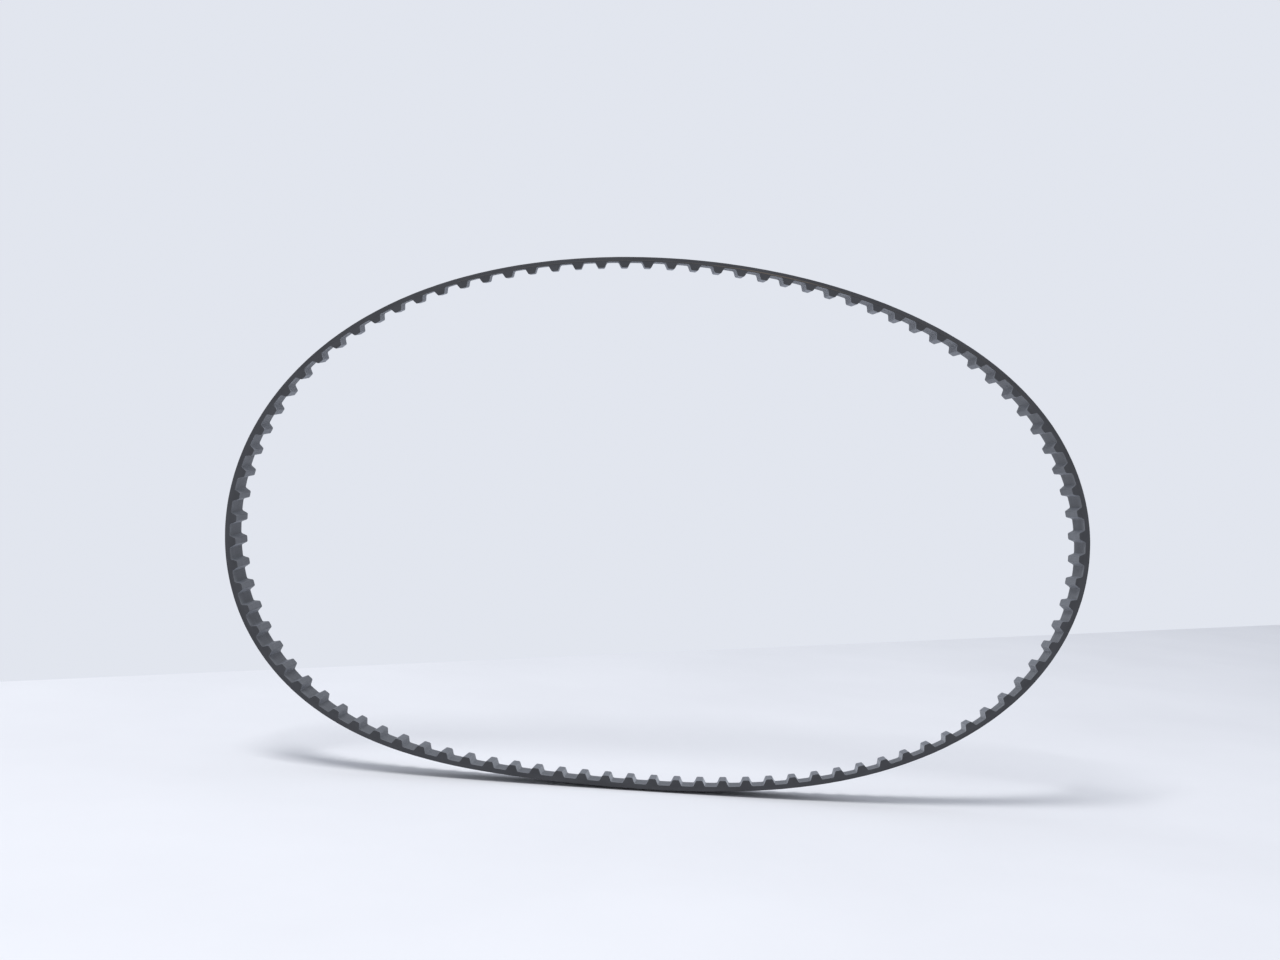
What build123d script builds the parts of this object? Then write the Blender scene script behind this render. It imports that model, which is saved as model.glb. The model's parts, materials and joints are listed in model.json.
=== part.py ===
from build123d import *
from math import acos, atan2, cos, degrees, hypot, pi, radians, sin, sqrt, tan
import os

# Endless toothed belt, XL profile, 95 teeth (pitch length 482.6), 6.35 wide.
# The loop stands in the XZ plane on its lower run; Y is the width and the
# direction of the pulley axes; the origin is the centre of the loop's box.
# The belt is built as equal lengths of five teeth. Neighbouring lengths meet in
# a round knuckle on the cord line, which is where the real belt bends.

# Tooth profile
PITCH = 5.08                # along the cord line
TOOTH_COUNT = 95
TOOTH_HEIGHT = 1.27
TOOTH_ROOT_WIDTH = 2.57     # where the flanks meet the land
FLANK_ANGLE = 25.0          # each flank, from the tooth's centre line
ROOT_RADIUS = 0.38
TIP_RADIUS = 0.38

# Section
BELT_WIDTH = 6.35
LAND_DEPTH = 0.254          # from the cord line in to the land between teeth
BACK_DEPTH = 0.776          # from the cord line out to the smooth back
FACING_THICKNESS = 0.12     # nylon over the teeth and lands
CORD_DIAMETER = 0.22
CORD_COUNT = 10             # turns of the wound cord across the width
CORD_SPACING = 0.60         # the helix advances by this in one turn of the belt

# Lengths of belt and the knuckles between them
TEETH_PER_LENGTH = 5
NOSE_RADIUS = 0.95
KNUCKLE_CLEARANCE = 0.03    # radial
CORD_END_GAP = 0.02         # cord ends to the knuckle faces

# Shape of the loop: curvature along the belt is that of a circle times
# 1 + the sum of amount * cos(lobes * (turn - direction)).
START_HEADING = 0.3         # degrees, at the middle of the lower run
LOBES = (
    (1, 0.009, 187.0),      # closes the loop
    (2, 0.71, 89.0),        # oval
    (3, 0.12, 63.0),        # one end fuller than the other
    (4, 0.10, 12.0),        # flat top and bottom
    (5, 0.07, 15.0),        # slight lean
)
STEPS_PER_TOOTH = 40        # for adding up the cord line

BELT_LENGTH = TOOTH_COUNT * PITCH
LENGTH_COUNT = TOOTH_COUNT // TEETH_PER_LENGTH
LENGTH = TEETH_PER_LENGTH * PITCH
SOCKET_RADIUS = NOSE_RADIUS + KNUCKLE_CLEARANCE


def heading(distance):
    """Direction of the cord line, in radians, at a distance along the belt."""
    turn = 2 * pi * distance / BELT_LENGTH
    angle = radians(START_HEADING) + turn
    for lobes, amount, direction in LOBES:
        phase = lobes * radians(direction)
        angle += amount / lobes * (sin(lobes * turn - phase) + sin(phase))
    return angle


def knuckle_points():
    """Knuckle centres on the closed cord line, as (x, z), anticlockwise."""
    step = PITCH / STEPS_PER_TOOTH
    steps_per_length = TEETH_PER_LENGTH * STEPS_PER_TOOTH
    x, z = 0.0, 0.0
    points = []
    for count in range(TOOTH_COUNT * STEPS_PER_TOOTH):
        if count % steps_per_length == 0:
            points.append((x, z))
        direction = heading((count + 0.5) * step - LENGTH / 2)
        x += step * cos(direction)
        z += step * sin(direction)
    # What is left of the closing gap is spread evenly round the loop.
    return [
        (px - x * index / LENGTH_COUNT, pz - z * index / LENGTH_COUNT)
        for index, (px, pz) in enumerate(points)
    ]


def arc_point(radius, distance, height):
    """Sketch point at a distance along an arc of cord line, a height inwards from it."""
    angle = distance / radius
    return ((radius - height) * sin(angle), radius - (radius - height) * cos(angle))


def reach(radius, knuckle_radius, height):
    """Distance along the cord line from a knuckle's centre to its face at a height."""
    side = radius - height
    cosine = (radius**2 + side**2 - knuckle_radius**2) / (2 * radius * side)
    return radius * acos(cosine)


class BeltLength:
    """One length of belt: a circular arc of cord line between two knuckles."""

    def __init__(self, index, start, end):
        first = index * LENGTH - LENGTH / 2
        turn = heading(first + LENGTH) - heading(first)
        run = (end[0] - start[0], end[1] - start[1])
        chord = hypot(*run)
        self.number = index + 1
        self.start = start
        self.turn = turn
        self.radius = chord / (2 * sin(turn / 2))
        self.direction = atan2(run[1], run[0]) - turn / 2
        self.length = self.radius * turn

    def plane(self, distance=0.0):
        """Plane across the sketch: X along the belt, Y inwards, at a distance along it."""
        angle = self.direction + distance / self.radius
        local = arc_point(self.radius, distance, 0.0)
        cosine, sine = cos(self.direction), sin(self.direction)
        return Plane(
            origin=(
                self.start[0] + local[0] * cosine - local[1] * sine,
                0.0,
                self.start[1] + local[0] * sine + local[1] * cosine,
            ),
            x_dir=(cos(angle), 0.0, sin(angle)),
            z_dir=(0.0, -1.0, 0.0),
        )

    def back_points(self):
        """Points along the smooth back, for the loop's outer box."""
        count = TEETH_PER_LENGTH * STEPS_PER_TOOTH
        plane = self.plane()
        return [
            plane.from_local_coords(
                Vector(*arc_point(self.radius, self.length * step / count, -BACK_DEPTH))
            )
            for step in range(count)
        ]


def belt_lengths():
    """All the lengths, moved so that the loop's box is centred on the origin."""
    knuckles = knuckle_points()
    pairs = list(zip(knuckles, knuckles[1:] + knuckles[:1]))
    lengths = [BeltLength(index, *pair) for index, pair in enumerate(pairs)]
    back = [point for length in lengths for point in length.back_points()]
    middle_x = (min(point.X for point in back) + max(point.X for point in back)) / 2
    middle_z = (min(point.Z for point in back) + max(point.Z for point in back)) / 2
    for length in lengths:
        length.start = (length.start[0] - middle_x, length.start[1] - middle_z)
    return lengths


def tooth_corners(length, tooth, inset):
    """A tooth's root, tip, tip and root corners, the profile moved in by an inset."""
    middle = (tooth + 0.5) * length.length / TEETH_PER_LENGTH
    angle = middle / length.radius
    foot = arc_point(length.radius, middle, 0.0)
    slope = tan(radians(FLANK_ANGLE))
    shift = inset / cos(radians(FLANK_ANGLE))
    root = TOOTH_ROOT_WIDTH / 2 + inset * slope - shift
    tip = TOOTH_ROOT_WIDTH / 2 - (TOOTH_HEIGHT - inset) * slope - shift
    low = LAND_DEPTH - inset
    high = LAND_DEPTH + TOOTH_HEIGHT - inset
    return [
        (
            foot[0] + along * cos(angle) - height * sin(angle),
            foot[1] + along * sin(angle) + height * cos(angle),
        )
        for along, height in ((-root, low), (-tip, high), (tip, high), (root, low))
    ]


def toothed_section(length, inset):
    """Section of one length, back to teeth, with a socket at its start and a nose at its end."""
    radius = length.radius
    low = LAND_DEPTH - inset
    teeth = [tooth_corners(length, tooth, inset) for tooth in range(TEETH_PER_LENGTH)]
    socket_back = arc_point(radius, reach(radius, SOCKET_RADIUS, -BACK_DEPTH), -BACK_DEPTH)
    socket_land = arc_point(radius, reach(radius, SOCKET_RADIUS, low), low)
    nose_back_reach = length.length + reach(radius, NOSE_RADIUS, -BACK_DEPTH)
    nose_back = arc_point(radius, nose_back_reach, -BACK_DEPTH)
    nose_land = arc_point(radius, length.length + reach(radius, NOSE_RADIUS, low), low)
    knuckle = arc_point(radius, length.length, 0.0)
    nose_front = (
        knuckle[0] + NOSE_RADIUS * cos(length.turn),
        knuckle[1] + NOSE_RADIUS * sin(length.turn),
    )
    back_middle = arc_point(radius, length.length / 2, -BACK_DEPTH)
    with BuildSketch() as section:
        with BuildLine():
            ThreePointArc(socket_land, (SOCKET_RADIUS, 0.0), socket_back)
            ThreePointArc(socket_back, back_middle, nose_back)
            ThreePointArc(nose_back, nose_front, nose_land)
            Polyline(socket_land, *[corner for tooth in teeth for corner in tooth], nose_land)
        make_face()
        roots = [corner for tooth in teeth for corner in (tooth[0], tooth[3])]
        tips = [corner for tooth in teeth for corner in (tooth[1], tooth[2])]
        fillet(corners_at(section, roots), ROOT_RADIUS + inset)
        fillet(corners_at(section, tips), TIP_RADIUS - inset)
    return section.sketch


def corners_at(section, points):
    """The section's vertices that lie on the given points."""
    same = 1e-4
    return [
        vertex
        for vertex in section.vertices()
        if any(hypot(vertex.X - x, vertex.Y - y) < same for x, y in points)
    ]


def cord_places(length):
    """Places of the cord's turns across the width; the helix moves on with each length."""
    advance = ((length.number - 0.5) / LENGTH_COUNT - 0.5) * CORD_SPACING
    middle = (CORD_COUNT - 1) / 2
    return [(0.0, (turn - middle) * CORD_SPACING + advance) for turn in range(CORD_COUNT)]


def cord_plane(length, distance):
    """Plane square to the cord line at a distance along a length: Y is the width."""
    frame = length.plane(distance)
    return Plane(origin=frame.origin, x_dir=frame.y_dir, z_dir=frame.x_dir)


def bend_axis(length):
    """Axis through the centre of a length's arc."""
    centre = length.plane().from_local_coords(Vector(0.0, length.radius, 0.0))
    return Axis(origin=centre, direction=(0.0, -1.0, 0.0))


def make_cords(length, first, last):
    """Tension cord: the turns of the winding between two distances along one length."""
    with BuildPart() as cords:
        with BuildSketch(cord_plane(length, first)):
            with Locations(*cord_places(length)):
                Circle(CORD_DIAMETER / 2)
        revolve(
            axis=bend_axis(length),
            revolution_arc=degrees((last - first) / length.radius),
        )
    cords.part.label = f"tension_cords_{length.number:02d}"
    return cords.part


def make_rubber(length, core, channels):
    """Backing and tooth bodies, one moulding with a channel for each turn of the cord."""
    with BuildPart() as rubber:
        with BuildSketch(length.plane()):
            add(core)
        extrude(amount=BELT_WIDTH / 2, both=True)
        add(channels, mode=Mode.SUBTRACT)
    rubber.part.label = f"rubber_body_{length.number:02d}"
    return rubber.part


def make_facing(length, whole, core):
    """Nylon facing: the skin between the finished profile and the rubber's."""
    with BuildPart() as facing:
        with BuildSketch(length.plane()):
            add(whole)
            add(core, mode=Mode.SUBTRACT)
        extrude(amount=BELT_WIDTH / 2, both=True)
    facing.part.label = f"tooth_facing_{length.number:02d}"
    return facing.part


os.makedirs("parts", exist_ok=True)
for belt_length in belt_lengths():
    whole_section = toothed_section(belt_length, 0.0)
    core_section = toothed_section(belt_length, FACING_THICKNESS)
    cord_start = SOCKET_RADIUS + CORD_END_GAP
    cord_end = belt_length.length + NOSE_RADIUS - CORD_END_GAP
    channels = make_cords(belt_length, NOSE_RADIUS / 2, belt_length.length + SOCKET_RADIUS)
    pieces = (
        make_rubber(belt_length, core_section, channels),
        make_cords(belt_length, cord_start, cord_end),
        make_facing(belt_length, whole_section, core_section),
    )
    for piece in pieces:
        export_step(piece, f"parts/{piece.label}.step")
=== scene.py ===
import json
import math

import bmesh
import bpy
import numpy as np
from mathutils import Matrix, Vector

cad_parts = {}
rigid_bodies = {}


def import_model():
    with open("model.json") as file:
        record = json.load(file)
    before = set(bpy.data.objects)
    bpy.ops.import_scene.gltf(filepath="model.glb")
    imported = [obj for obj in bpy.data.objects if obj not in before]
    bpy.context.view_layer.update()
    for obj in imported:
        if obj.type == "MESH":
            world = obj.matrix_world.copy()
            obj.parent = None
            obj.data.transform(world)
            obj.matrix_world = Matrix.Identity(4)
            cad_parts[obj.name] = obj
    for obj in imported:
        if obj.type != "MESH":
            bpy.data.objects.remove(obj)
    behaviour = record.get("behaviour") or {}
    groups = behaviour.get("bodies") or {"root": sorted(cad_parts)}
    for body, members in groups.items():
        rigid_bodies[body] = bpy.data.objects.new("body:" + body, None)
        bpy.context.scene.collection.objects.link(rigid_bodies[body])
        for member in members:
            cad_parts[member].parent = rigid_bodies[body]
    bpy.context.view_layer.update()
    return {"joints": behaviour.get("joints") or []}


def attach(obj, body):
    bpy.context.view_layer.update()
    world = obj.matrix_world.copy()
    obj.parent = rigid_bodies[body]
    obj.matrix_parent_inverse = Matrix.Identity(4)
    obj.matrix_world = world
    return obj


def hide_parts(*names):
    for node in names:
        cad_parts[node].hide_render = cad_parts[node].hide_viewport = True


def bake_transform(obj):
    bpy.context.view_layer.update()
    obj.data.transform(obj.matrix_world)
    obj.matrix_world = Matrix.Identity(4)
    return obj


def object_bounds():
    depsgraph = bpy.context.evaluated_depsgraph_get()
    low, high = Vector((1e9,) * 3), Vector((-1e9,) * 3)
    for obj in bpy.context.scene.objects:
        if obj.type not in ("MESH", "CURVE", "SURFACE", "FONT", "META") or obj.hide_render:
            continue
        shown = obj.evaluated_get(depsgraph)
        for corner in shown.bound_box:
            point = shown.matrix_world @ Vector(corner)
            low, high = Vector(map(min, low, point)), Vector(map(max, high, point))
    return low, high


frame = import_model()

MM = 0.001

# The belt's profile and section, as in the CAD
PITCH = 5.08 * MM
TOOTH_COUNT = 95
TOOTH_HEIGHT = 1.27 * MM
TOOTH_ROOT_WIDTH = 2.57 * MM
FLANK_SLOPE = math.tan(math.radians(25.0))
FLANK_COSINE = math.cos(math.radians(25.0))
ROOT_RADIUS = 0.38 * MM
TIP_RADIUS = 0.38 * MM
BELT_WIDTH = 6.35 * MM
LAND_DEPTH = 0.254 * MM
BACK_DEPTH = 0.776 * MM
FACING_THICKNESS = 0.12 * MM
CORD_RADIUS = 0.11 * MM
CORD_SPACING = 0.60 * MM
TEETH_PER_LENGTH = 5

# Rows of the rubber below its moulded face: height from the cord line, edge eased back by
RUBBER_ROWS = (
    (0.12 * MM, 0.0),
    (-0.12 * MM, 0.0),
    (-0.45 * MM, 0.0),
    (-0.716 * MM, 0.0),
    (-0.758 * MM, 0.018 * MM),
    (-BACK_DEPTH, 0.06 * MM),
)
CUT_RIPPLE = 0.015 * MM
BACK_RIPPLE = 0.010 * MM
RIPPLE_CYCLES = (23, 41, 67, 109, 163)      # waves round the loop
CORD_SIDES = 8
CORD_STEP = 0.8 * MM
CORD_EXIT = 217 * MM        # where the winding runs out at the front cut side
CORD_PROUD = 0.02 * MM
CUT_AWAY = 0.8              # a turn this many radii outside the cut side is left out
BARE_CORD_MM = 30.0         # smeared over with rubber beyond this distance from there
OPEN_AFTER = 10             # the pivot after this length is the loop's open one

# Facing weave, millimetres
WARP_MM = 0.30
WEFT_MM = 0.34
TWILL_SLANT = 0.9

# Camera
CAMERA_PLACE = (0.94 * MM, -298.2 * MM, 14.41 * MM)
CAMERA_ROLL = -3.6          # degrees
CAMERA_SHIFT = (-0.0212, -0.0177)
FOCAL_WIDTHS = 1.0692       # focal length in picture widths
SENSOR_WIDTH = 36.0          # millimetres

# White sheet under the belt
SHEET_TURN = 37.0           # degrees
SHEET_FAR_POINT = (87 * MM, 272 * MM)
SHEET_SIZE = (2.6, 2.2)
SHEET_COLOURS = ((0.81, 0.82, 0.855), (0.85, 0.86, 0.895))

# Light: even surroundings and one overhead soft box
SURROUNDINGS_COLOUR = (0.76, 0.79, 0.86)
FILL_STRENGTH = 0.72
BOX_PLACE = (-0.25, -0.42, 0.95)
BOX_SIZE = 0.35
BOX_POWER = 6.8             # watts

# The belt's far edge leans out where the loop is flat and in at its ends, a slight twist
LEAN = 0.85 * MM
LEAN_HEADING = math.radians(25.9)

# The shape of the cord line, as in the CAD
START_HEADING = math.radians(0.3)
LOBES = ((1, 0.009, 187.0), (2, 0.71, 89.0), (3, 0.12, 63.0), (4, 0.10, 12.0), (5, 0.07, 15.0))

BELT_LENGTH = TOOTH_COUNT * PITCH
LENGTH_COUNT = TOOTH_COUNT // TEETH_PER_LENGTH
LENGTH = TEETH_PER_LENGTH * PITCH
HALF_WIDTH = BELT_WIDTH / 2


# ---------------------------------------------------------------- cord line

def headings(distance):
    """Direction of the cord line at distances along the belt, in radians."""
    turn = 2 * math.pi * distance / BELT_LENGTH
    angle = START_HEADING + turn
    for lobes, amount, direction in LOBES:
        phase = lobes * math.radians(direction)
        angle = angle + amount / lobes * (np.sin(lobes * turn - phase) + math.sin(phase))
    return angle


class CordLine:
    """The closed line of the tension cord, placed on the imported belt's first knuckle."""

    STEPS_PER_TOOTH = 40

    def __init__(self, first_knuckle):
        count = TOOTH_COUNT * self.STEPS_PER_TOOTH
        step = BELT_LENGTH / count
        self.distance = np.linspace(0, BELT_LENGTH, count + 1) - LENGTH / 2
        middles = headings(self.distance[:-1] + step / 2)
        x = np.concatenate([[0], np.cumsum(step * np.cos(middles))])
        z = np.concatenate([[0], np.cumsum(step * np.sin(middles))])
        share = np.linspace(0, 1, count + 1)
        self.x = x - x[-1] * share + first_knuckle[0]
        self.z = z - z[-1] * share + first_knuckle[2]

    def points(self, distance, height, across=-HALF_WIDTH):
        """Points (x, z) at distances along the belt and heights inwards from the cord line.

        The near edge follows the line; towards the far edge the belt leans, and slips along
        itself by as much as keeps every cord the same length.
        """
        share = (across + HALF_WIDTH) / BELT_WIDTH
        wrapped = (distance + LENGTH / 2) % BELT_LENGTH - LENGTH / 2
        angle = headings(wrapped)
        out = LEAN * share * np.cos(2 * (angle - LEAN_HEADING))
        slip = -LEAN * share * np.sin(2 * (angle - LEAN_HEADING)) / 2
        inwards = height - out
        x = np.interp(wrapped, self.distance, self.x) - inwards * np.sin(angle) + slip * np.cos(angle)
        z = np.interp(wrapped, self.distance, self.z) + inwards * np.cos(angle) + slip * np.sin(angle)
        return x, z


# ------------------------------------------------------------ tooth profile

def rounded_corner(before, corner, after, radius, count=6):
    """Points of the arc that rounds a corner of the profile."""
    before, corner, after = (np.array(point) for point in (before, corner, after))
    back = (before - corner) / np.linalg.norm(before - corner)
    on = (after - corner) / np.linalg.norm(after - corner)
    half = math.acos(float(back @ on)) / 2
    centre = corner + (back + on) / np.linalg.norm(back + on) * radius / math.sin(half)
    start = corner + back * radius / math.tan(half) - centre
    end = corner + on * radius / math.tan(half) - centre
    sweep = math.pi - 2 * half
    shares = np.linspace(0, 1, count)[:, None]
    weights = np.sin((1 - shares) * sweep), np.sin(shares * sweep)
    return centre + (start * weights[0] + end * weights[1]) / math.sin(sweep)


def tooth_profile(inset):
    """One pitch of the profile, tooth in the middle: columns of (along, height)."""
    root = TOOTH_ROOT_WIDTH / 2 + inset * FLANK_SLOPE - inset / FLANK_COSINE
    tip = TOOTH_ROOT_WIDTH / 2 - (TOOTH_HEIGHT - inset) * FLANK_SLOPE - inset / FLANK_COSINE
    low = LAND_DEPTH - inset
    high = LAND_DEPTH + TOOTH_HEIGHT - inset
    land_edge, crest = (-PITCH / 2, low), (0.0, high)
    foot, shoulder = (-root, low), (-tip, high)
    lower = rounded_corner(land_edge, foot, shoulder, ROOT_RADIUS + inset)
    upper = rounded_corner(foot, shoulder, crest, TIP_RADIUS - inset)
    land = np.linspace(land_edge, lower[0], 4)[:-1]
    flank = np.linspace(lower[-1], upper[0], 4)[1:-1]
    top = np.linspace(upper[-1], crest, 3)[1:]
    rise = np.concatenate([land, lower, flank, upper, top])
    fall = rise[::-1][1:] * (-1, 1)
    return np.concatenate([rise, fall])


def belt_profile(inset):
    """The whole belt's profile, as (distance, height), from the land before tooth 0 on."""
    one = tooth_profile(inset)[:-1]
    return np.concatenate([one + (tooth * PITCH, 0) for tooth in range(TOOTH_COUNT + 1)])


COLUMNS_PER_TOOTH = len(tooth_profile(0.0)) - 1
OUTER_PROFILE = belt_profile(0.0)
RUBBER_PROFILE = belt_profile(FACING_THICKNESS)


def crest_column(tooth):
    """Column of the profile at the middle of a tooth's crest."""
    return tooth * COLUMNS_PER_TOOTH + COLUMNS_PER_TOOTH // 2


def ripple(distance, across, size, seed):
    """A small unevenness over the belt that closes on itself round the loop."""
    random = np.random.default_rng(seed)
    total = 0.0
    for cycles in RIPPLE_CYCLES:
        phase, slant = random.uniform(0, 2 * math.pi), random.uniform(-0.6, 0.6)
        turn = 2 * math.pi * cycles * distance / BELT_LENGTH
        total = total + np.sin(turn + phase + slant * across / MM)
    return size * total / 3


# ------------------------------------------------------------------- meshes

ACROSS = np.linspace(-1, 1, 13)     # rows across the width, as shares of half of it


class Surface:
    """Collects grids of points into one mesh, with real-scale UVs and hard edges between grids."""

    def __init__(self, name):
        self.name = name
        self.points, self.uvs, self.faces, self.slots, self.grids = [], [], [], [], []

    def add_grid(self, points, uvs, slot=0):
        """Adds a (columns, rows) grid; its front is where columns x rows points."""
        columns, rows = points.shape[:2]
        first = sum(len(block) for block in self.points)
        index = first + np.arange(columns * rows).reshape(columns, rows)
        quads = np.stack([index[:-1, :-1], index[1:, :-1], index[1:, 1:], index[:-1, 1:]], axis=-1)
        quads = quads.reshape(-1, 4)
        self.points.append(points.reshape(-1, 3))
        self.uvs.append(uvs.reshape(-1, 2))
        self.faces.append(quads)
        self.slots.extend([slot] * len(quads))
        self.grids.extend([len(self.points)] * len(quads))

    def make(self, materials):
        """The finished object, its grids joined edge to edge."""
        points = np.concatenate(self.points)
        uvs = np.concatenate(self.uvs)
        faces = np.concatenate(self.faces)
        mesh = bpy.data.meshes.new(self.name)
        mesh.from_pydata(points.tolist(), [], faces.tolist())
        layer = mesh.uv_layers.new(name="belt_mm")
        layer.data.foreach_set("uv", uvs[faces.ravel()].astype(np.float32).ravel())
        mesh.polygons.foreach_set("material_index", self.slots)
        mesh.polygons.foreach_set("use_smooth", [True] * len(faces))
        grid = mesh.attributes.new("grid", "INT", "FACE")
        grid.data.foreach_set("value", self.grids)
        self.join(mesh)
        for material in materials:
            mesh.materials.append(material)
        piece = bpy.data.objects.new(self.name, mesh)
        bpy.context.collection.objects.link(piece)
        return piece

    def join(self, mesh):
        """Merges the grids' shared borders and keeps those borders hard."""
        work = bmesh.new()
        work.from_mesh(mesh)
        bmesh.ops.remove_doubles(work, verts=work.verts, dist=1e-7)
        grid = work.faces.layers.int["grid"]
        for edge in work.edges:
            if len({face[grid] for face in edge.link_faces}) > 1:
                edge.smooth = False
        work.to_mesh(mesh)
        work.free()


def add_block(surface, lattice, lengths, heights, slots):
    """Adds the six sides of a lattice of points (along, inwards to outwards, across).

    lengths and heights are each lattice column's UVs in millimetres; slots names the material
    slots of the sides facing the teeth, the back and the cut sides.
    """
    across = lattice[..., 1] / MM
    inner_uv = np.stack([lengths[:, :1] + 0 * across[:, 0], across[:, 0]], axis=-1)
    outer_uv = np.stack([lengths[:, -1:] + 0 * across[:, -1], across[:, -1]], axis=-1)
    side_uv = np.stack([lengths, heights], axis=-1)
    surface.add_grid(lattice[:, 0, ::-1], inner_uv[:, ::-1], slots[0])
    surface.add_grid(lattice[:, -1], outer_uv, slots[1])
    surface.add_grid(lattice[:, :, 0], side_uv, slots[2])
    surface.add_grid(lattice[:, ::-1, -1], side_uv[:, ::-1], slots[2])
    cap_uv = np.stack([across, np.repeat(heights[..., None], across.shape[2], axis=2)], axis=-1)
    surface.add_grid(lattice[0, ::-1], cap_uv[0, ::-1], slots[2])
    surface.add_grid(lattice[-1], cap_uv[-1], slots[2])


def lattice_points(line, distances, heights, half_widths):
    """Points at (distance, height) rows, spread across the belt's width."""
    across = half_widths[..., None] * ACROSS
    x, z = line.points(distances[..., None], heights[..., None], across)
    return np.stack([x, across, z], axis=-1)


def make_facing(line, name, columns, material):
    """Nylon facing over the teeth and lands between two columns of the profile."""
    outer, inner = OUTER_PROFILE[columns], RUBBER_PROFILE[columns]
    distances = np.stack([outer[:, 0], inner[:, 0]], axis=1)
    heights = np.stack([outer[:, 1], inner[:, 1]], axis=1)
    cut = HALF_WIDTH + ripple(distances, 0, CUT_RIPPLE, seed=3)
    lattice = lattice_points(line, distances, heights, cut)
    steps = np.hypot(*np.diff(outer, axis=0).T)
    developed = np.concatenate([[0], np.cumsum(steps)]) / MM
    start = developed_start(columns)
    lengths = np.repeat((start + developed)[:, None], 2, axis=1)
    surface = Surface(name)
    add_block(surface, lattice, lengths, heights / MM, (0, 0, 0))
    return surface.make([material])


def developed_start(columns):
    """Length along the facing's surface, in millimetres, before the first of some columns."""
    before = OUTER_PROFILE[:columns.start + 1]
    return float(np.hypot(*np.diff(before, axis=0).T).sum()) / MM


def make_rubber(line, name, columns, materials):
    """Backing and tooth bodies between two columns of the profile, edges of the back eased."""
    inner = RUBBER_PROFILE[columns]
    rows = [inner[:, 1]]
    eased = [np.zeros(len(inner))]
    for height, ease in RUBBER_ROWS:
        rows.append(np.full(len(inner), height))
        eased.append(np.full(len(inner), ease))
    heights = np.stack(rows, axis=1)
    distances = np.repeat(inner[:, :1], heights.shape[1], axis=1)
    heights[:, -1] += ripple(inner[:, 0], 0, BACK_RIPPLE, seed=5)
    cut = HALF_WIDTH - np.stack(eased, axis=1) + ripple(distances, 0, CUT_RIPPLE, seed=3)
    lattice = lattice_points(line, distances, heights, cut)
    surface = Surface(name)
    add_block(surface, lattice, distances / MM, heights / MM, (0, 1, 0))
    return surface.make(materials)


def make_cords(line, name, first, last, material):
    """The cord's turns between two distances; where the winding reaches a side it is cut flush."""
    distances = np.linspace(first, last, round((last - first) / CORD_STEP) + 1)
    around = np.linspace(0, 2 * math.pi, CORD_SIDES + 1)
    surface = Surface(name)
    for turn in range(-1, math.ceil(BELT_WIDTH / CORD_SPACING) + 1):
        advance = turn + (distances - CORD_EXIT) / BELT_LENGTH
        centre = -HALF_WIDTH + CORD_SPACING * advance
        across = centre[:, None] + CORD_RADIUS * np.cos(around)
        limit = HALF_WIDTH + CORD_PROUD
        outside = (np.abs(centre) - CORD_RADIUS * CUT_AWAY > HALF_WIDTH).any()
        if outside:
            continue
        across = np.clip(across, -limit, limit)
        height = np.broadcast_to(CORD_RADIUS * np.sin(around), across.shape)
        along = np.broadcast_to(distances[:, None], across.shape)
        x, z = line.points(along, height, across)
        uv = np.stack([along / MM, np.broadcast_to(around * CORD_RADIUS / MM, across.shape)], axis=-1)
        surface.add_grid(np.stack([x, across, z], axis=-1), uv)
    return surface.make([material])


# ---------------------------------------------------------------- materials

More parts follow.
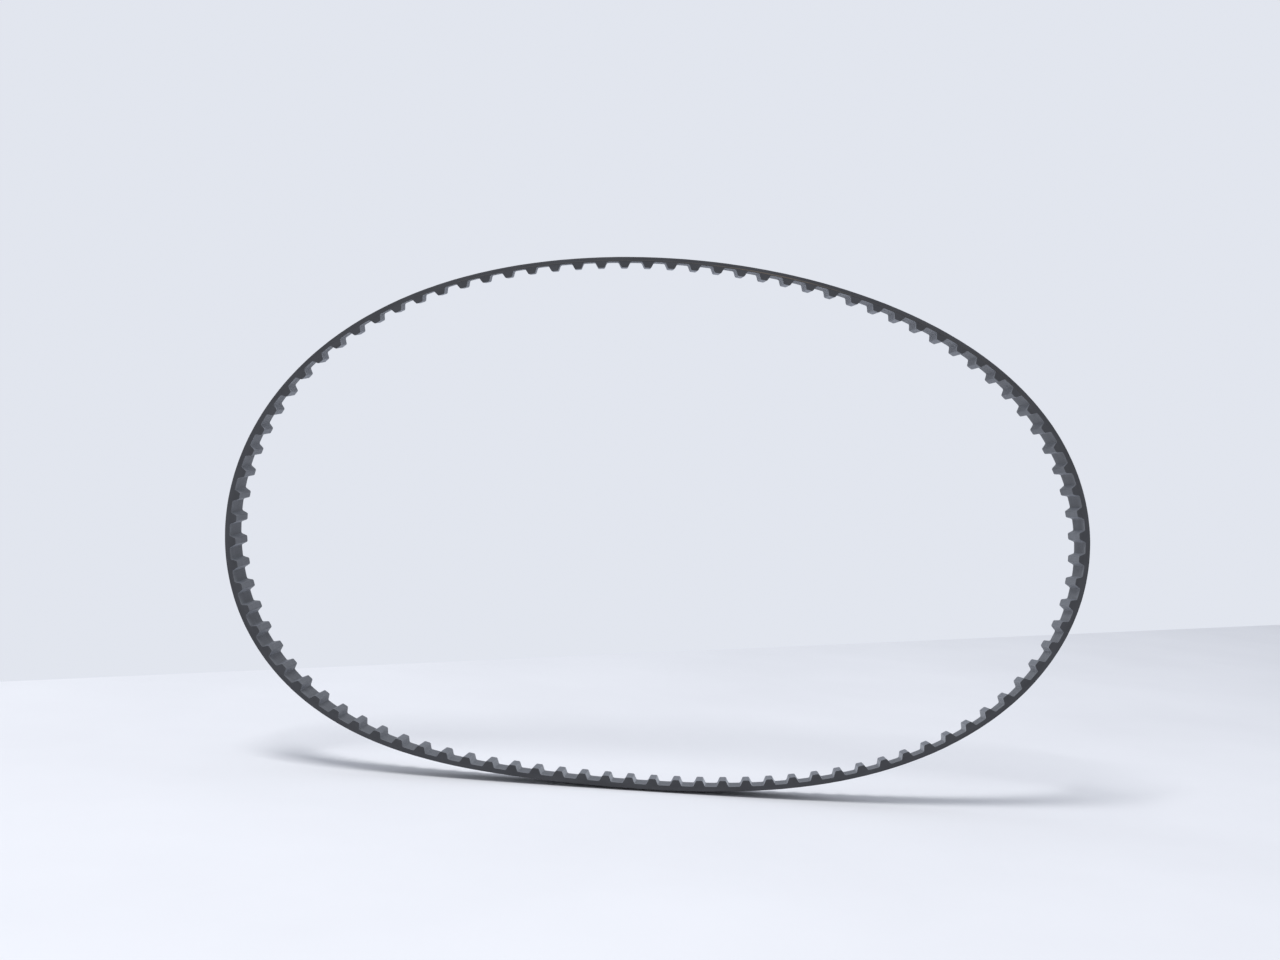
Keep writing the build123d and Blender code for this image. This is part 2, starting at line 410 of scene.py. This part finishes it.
class Nodes:
    """A material's node tree, with short calls for adding and linking nodes."""

    def __init__(self, name):
        self.material = bpy.data.materials.new(name)
        self.material.use_nodes = True
        self.tree = self.material.node_tree
        self.shader = self.tree.nodes["Principled BSDF"]

    def add(self, kind, settings=None, **inputs):
        """Adds a node; inputs are values or other nodes' outputs, by socket name."""
        node = self.tree.nodes.new(kind)
        for key, value in (settings or {}).items():
            setattr(node, key, value)
        for key, value in inputs.items():
            self.feed(node.inputs[key.replace("_", " ")], value)
        return node

    def feed(self, socket, value):
        """Links an output to a socket, or sets the socket's own value."""
        if isinstance(value, bpy.types.NodeSocket):
            self.tree.links.new(value, socket)
        else:
            socket.default_value = value

    def stretched(self, along, across):
        """Belt coordinates in millimetres, stretched along and across the belt."""
        place = self.add("ShaderNodeUVMap", {"uv_map": "belt_mm"})
        node = self.tree.nodes.new("ShaderNodeVectorMath")
        node.operation = "MULTIPLY"
        self.tree.links.new(place.outputs["UV"], node.inputs[0])
        node.inputs[1].default_value = (along, across, 1.0)
        return node.outputs[0]

    def noise(self, vector, scale, detail=3.0, roughness=0.55):
        """Noise over a vector, from 0 to 1."""
        settings = {"Scale": scale, "Detail": detail, "Roughness": roughness}
        return self.add("ShaderNodeTexNoise", Vector=vector, **settings).outputs["Fac"]

    def ramp(self, value, stops):
        """Colour ramp with (position, colour) stops."""
        node = self.add("ShaderNodeValToRGB", Fac=value)
        elements = node.color_ramp.elements
        while len(elements) < len(stops):
            elements.new(0.5)
        for element, (position, colour) in zip(elements, stops):
            element.position = position
            element.color = (*colour, 1.0)
        return node.outputs["Color"]

    def mix(self, share, first, second):
        """Blend of two colours: share is 0 for the first, 1 for the second."""
        node = self.tree.nodes.new("ShaderNodeMix")
        node.data_type = "RGBA"
        sockets = (node.inputs[0], node.inputs[6], node.inputs[7])
        for socket, value in zip(sockets, (share, first, second)):
            self.tree.links.new(value, socket)
        return node.outputs[2]

    def math(self, operation, first, second=0.0):
        """One step of arithmetic."""
        node = self.tree.nodes.new("ShaderNodeMath")
        node.operation = operation
        self.feed(node.inputs[0], first)
        self.feed(node.inputs[1], second)
        return node.outputs[0]

    def spread(self, value, low, high):
        """A value from 0 to 1 spread between two limits."""
        return self.math("ADD", self.math("MULTIPLY", value, high - low), low)

    def bump(self, height, distance, strength):
        """Bump from a height, its distance in metres."""
        node = self.add("ShaderNodeBump", Height=height, Distance=distance, Strength=strength)
        return node.outputs["Normal"]

    def finish(self, **inputs):
        """Feeds the shader and returns the material."""
        for key, value in inputs.items():
            self.feed(self.shader.inputs[key.replace("_", " ")], value)
        return self.material


def nylon():
    """Tight stretch-nylon facing: a fine twill, dark with rubber struck through, paler in patches."""
    n = Nodes("facing_nylon")
    belt = n.stretched(1.0, 1.0)
    split = n.add("ShaderNodeSeparateXYZ", Vector=belt)
    along, across = split.outputs["X"], split.outputs["Y"]
    wander = n.math("MULTIPLY", n.noise(belt, 1.4, 2.0), 0.5)
    warp = n.math("SINE", n.math("MULTIPLY", n.math("ADD", across, wander), 2 * math.pi / WARP_MM))
    slant = n.math("ADD", n.math("MULTIPLY", across, TWILL_SLANT), along)
    weft = n.math("SINE", n.math("MULTIPLY", slant, 2 * math.pi / WEFT_MM))
    weave = n.math("ADD", n.math("MULTIPLY", n.math("MULTIPLY", warp, weft), 0.35), 0.5)
    fuzz = n.noise(n.stretched(9.0, 14.0), 1.0, 4.0, 0.7)
    patches = n.noise(n.stretched(0.35, 0.6), 1.0, 4.0)
    height = n.math("ADD", weave, n.math("MULTIPLY", fuzz, 0.5))
    tone = n.math("ADD", n.math("MULTIPLY", weave, 0.22), n.math("MULTIPLY", patches, 0.78))
    colour = n.ramp(tone, (
        (0.25, (0.022, 0.023, 0.026)),
        (0.55, (0.045, 0.047, 0.053)),
        (0.85, (0.085, 0.089, 0.100)),
    ))
    return n.finish(
        Base_Color=colour,
        Roughness=n.spread(fuzz, 0.38, 0.62),
        Normal=n.bump(height, 0.03 * MM, 0.4),
        Sheen_Weight=0.50,
        Sheen_Roughness=0.45,
        Sheen_Tint=(0.75, 0.80, 0.90, 1.0),
    )


def cut_rubber():
    """Side sliced through by the slitting knife: fine lines along the belt, slightly open grain."""
    n = Nodes("cut_side_rubber")
    lines = n.noise(n.stretched(0.25, 22.0), 1.0, 3.0, 0.6)
    grain = n.noise(n.stretched(16.0, 16.0), 1.0, 4.0, 0.7)
    patches = n.noise(n.stretched(0.12, 0.5), 1.0, 3.0)
    tone = n.math("ADD", n.math("MULTIPLY", grain, 0.4), n.math("MULTIPLY", patches, 0.6))
    colour = n.ramp(tone, ((0.3, (0.026, 0.027, 0.031)), (0.7, (0.050, 0.052, 0.059))))
    height = n.math("ADD", lines, n.math("MULTIPLY", grain, 0.6))
    return n.finish(
        Base_Color=colour,
        Roughness=n.spread(grain, 0.5, 0.75),
        Normal=n.bump(height, 0.012 * MM, 0.7),
        Specular_IOR_Level=0.45,
    )


def ground_rubber():
    """Ground back: short scratches across the belt, a dull sheen, a little dust in the grain."""
    n = Nodes("ground_back_rubber")
    scratches = n.noise(n.stretched(7.0, 0.7), 1.0, 4.0, 0.65)
    grain = n.noise(n.stretched(12.0, 12.0), 1.0, 3.0, 0.6)
    patches = n.noise(n.stretched(0.1, 0.35), 1.0, 3.0)
    tone = n.math("ADD", n.math("MULTIPLY", scratches, 0.5), n.math("MULTIPLY", patches, 0.5))
    colour = n.ramp(tone, (
        (0.3, (0.020, 0.021, 0.024)),
        (0.55, (0.032, 0.033, 0.037)),
        (0.8, (0.058, 0.060, 0.066)),
    ))
    height = n.math("ADD", scratches, n.math("MULTIPLY", grain, 0.3))
    return n.finish(
        Base_Color=colour,
        Roughness=n.spread(scratches, 0.42, 0.66),
        Normal=n.bump(height, 0.015 * MM, 0.7),
        Specular_IOR_Level=0.5,
    )


def glass_cord():
    """Dipped glass-fibre cord: tan where it is bare, elsewhere smeared over with rubber."""
    n = Nodes("glass_fibre_cord")
    belt = n.stretched(1.0, 1.0)
    split = n.add("ShaderNodeSeparateXYZ", Vector=belt)
    twist = n.math("ADD", split.outputs["X"], n.math("MULTIPLY", split.outputs["Y"], 1.6))
    strands = n.math("SINE", n.math("MULTIPLY", twist, 2 * math.pi / 0.32))
    fibres = n.noise(n.stretched(3.0, 40.0), 1.0, 3.0)
    tone = n.math("ADD", n.math("MULTIPLY", strands, 0.2), fibres)
    from_exit = n.math("ABSOLUTE", n.math("SUBTRACT", split.outputs["X"], CORD_EXIT / MM))
    blotches = n.math("MULTIPLY", n.noise(belt, 0.4), 0.8)
    smeared = n.math("ADD", n.math("DIVIDE", from_exit, BARE_CORD_MM), blotches)
    bare = n.ramp(tone, ((0.2, (0.080, 0.062, 0.044)), (0.7, (0.210, 0.160, 0.108))))
    rubbed = n.ramp(tone, ((0.2, (0.028, 0.027, 0.028)), (0.7, (0.052, 0.050, 0.051))))
    colour = n.mix(n.spread(smeared, 1.0, 0.0), rubbed, bare)
    return n.finish(
        Base_Color=colour,
        Roughness=n.spread(fibres, 0.5, 0.75),
        Normal=n.bump(tone, 0.02 * MM, 0.8),
    )


def paper(name, low, high):
    """Matt white paper or card, faintly mottled."""
    n = Nodes(name)
    place = n.add("ShaderNodeTexCoord").outputs["Object"]
    mottle = n.noise(place, 14.0, 4.0)
    fibres = n.noise(place, 900.0, 2.0)
    return n.finish(
        Base_Color=n.ramp(mottle, ((0.3, low), (0.7, high))),
        Roughness=0.85,
        Specular_IOR_Level=0.2,
        Normal=n.bump(fibres, 0.02 * MM, 0.3),
    )


# ------------------------------------------------------------------- pieces

def body(number):
    """A CAD body's name by number, counted round the loop."""
    return f"belt_length_{(number - 1) % LENGTH_COUNT + 1:02d}"


def make_pieces(line, tag, columns, first, last, finishes, hold):
    """Facing, rubber and cords of one span; hold gets each piece with the name of its CAD node."""
    rubber_finishes = (finishes["cut"], finishes["ground"])
    pieces = {
        "tooth_facing": make_facing(line, f"facing_{tag}", columns, finishes["nylon"]),
        "rubber_body": make_rubber(line, f"rubber_{tag}", columns, rubber_finishes),
        "tension_cords": make_cords(line, f"cords_{tag}", first, last, finishes["cord"]),
    }
    for node, piece in pieces.items():
        hold(piece, node)


def make_belt(line):
    """Spans from the middle of one length to the middle of the next; the span at the open pivot is
    split there, each half on its own body.
    """
    finishes = {
        "nylon": nylon(),
        "cut": cut_rubber(),
        "ground": ground_rubber(),
        "cord": glass_cord(),
    }
    for number in range(1, LENGTH_COUNT + 1):
        first, last = (number - 1) * TEETH_PER_LENGTH, number * TEETH_PER_LENGTH
        start, end = (line.points(np.array(tooth * PITCH), 0.0) for tooth in (first, last))
        middle = (first + 0.5) * PITCH + (last - first) // 2 * PITCH
        columns = slice(crest_column(first), crest_column(last) + 1)
        if number != OPEN_AFTER:
            def hold(piece, node, number=number, start=start, end=end):
                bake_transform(piece)
                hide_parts(f"{node}_{number:02d}")
            tag = f"{number:02d}_{number % LENGTH_COUNT + 1:02d}"
            make_pieces(line, tag, columns, first * PITCH, last * PITCH, finishes, hold)
            continue
        knuckle = round((first + last + 1) / 2) * COLUMNS_PER_TOOTH
        halves = (
            (number, f"{number:02d}_end", slice(columns.start, knuckle + 1), first * PITCH, middle),
            (number + 1, f"{number + 1:02d}_start", slice(knuckle, columns.stop), middle, last * PITCH),
        )
        for owner, tag, part, begin, finish in halves:
            def hold(piece, node, owner=owner):
                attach(piece, body(owner))
                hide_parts(f"{node}_{owner:02d}")
            make_pieces(line, tag, part, begin, finish, finishes, hold)


def first_knuckle():
    """The knuckle at the start of length 1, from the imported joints."""
    ends = {body(1), body(LENGTH_COUNT)}
    joint = next(j for j in frame["joints"] if {j["parent"], j["child"]} == ends)
    return joint["pos_m"]


# ------------------------------------------------------ stage, light, camera

def make_stage(floor_height):
    """A white sheet to stand on, turned so that its far edge runs behind the belt."""
    turn = math.radians(SHEET_TURN)
    along = Vector((math.cos(turn), math.sin(turn)))
    across = Vector((-math.sin(turn), math.cos(turn)))
    far = Vector(SHEET_FAR_POINT)
    outline = [
        far + along * SHEET_SIZE[0] / 2,
        far - along * SHEET_SIZE[0] / 2,
        far - along * SHEET_SIZE[0] / 2 - across * SHEET_SIZE[1],
        far + along * SHEET_SIZE[0] / 2 - across * SHEET_SIZE[1],
    ]
    sheet = flat_piece("floor_sheet", outline[::-1], floor_height)
    sheet.data.materials.append(paper("white_sheet", *SHEET_COLOURS))


def flat_piece(name, outline, height):
    """A flat polygon at a height."""
    mesh = bpy.data.meshes.new(name)
    mesh.from_pydata([(x, y, height) for x, y in outline], [], [list(range(len(outline)))[::-1]])
    mesh.update()
    piece = bpy.data.objects.new(name, mesh)
    bpy.context.collection.objects.link(piece)
    return piece


def make_light(name, place, aim, size, power):
    """A square soft box at a place, turned towards a point."""
    light = bpy.data.lights.new(name, "AREA")
    light.size = size
    light.energy = power
    lamp = bpy.data.objects.new(name, light)
    lamp.location = place
    lamp.rotation_euler = (Vector(aim) - Vector(place)).to_track_quat("-Z", "Y").to_euler()
    bpy.context.collection.objects.link(lamp)


def make_world(colour, strength):
    """Even pale surroundings: one brightness as seen, a lower one as fill light."""
    world = bpy.data.worlds.new("surroundings")
    world.use_nodes = True
    tree = world.node_tree
    fill = tree.nodes["Background"]
    seen = tree.nodes.new("ShaderNodeBackground")
    pick = tree.nodes.new("ShaderNodeMixShader")
    rays = tree.nodes.new("ShaderNodeLightPath")
    for background, brightness in ((fill, strength), (seen, 1.0)):
        background.inputs["Color"].default_value = (*colour, 1.0)
        background.inputs["Strength"].default_value = brightness
    tree.links.new(rays.outputs["Is Camera Ray"], pick.inputs[0])
    tree.links.new(fill.outputs[0], pick.inputs[1])
    tree.links.new(seen.outputs[0], pick.inputs[2])
    tree.links.new(pick.outputs[0], tree.nodes["World Output"].inputs["Surface"])
    bpy.context.scene.world = world


def make_camera():
    """Camera just above the loop's middle, looking along the pulley axes, its frame shifted."""
    camera = bpy.data.cameras.new("camera")
    camera.sensor_width = SENSOR_WIDTH
    camera.lens = camera.sensor_width * FOCAL_WIDTHS
    camera.shift_x, camera.shift_y = CAMERA_SHIFT
    holder = bpy.data.objects.new("camera", camera)
    holder.location = CAMERA_PLACE
    holder.rotation_euler = (math.radians(90), math.radians(CAMERA_ROLL), 0)
    bpy.context.collection.objects.link(holder)
    bpy.context.scene.camera = holder


line = CordLine(first_knuckle())
make_belt(line)
visual_box = [list(corner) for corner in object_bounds()]
make_stage(visual_box[0][2])
make_world(SURROUNDINGS_COLOUR, FILL_STRENGTH)
make_light("overhead_box", BOX_PLACE, (0, 0, 0), BOX_SIZE, BOX_POWER)
make_camera()
bpy.context.scene.view_settings.view_transform = "Standard"
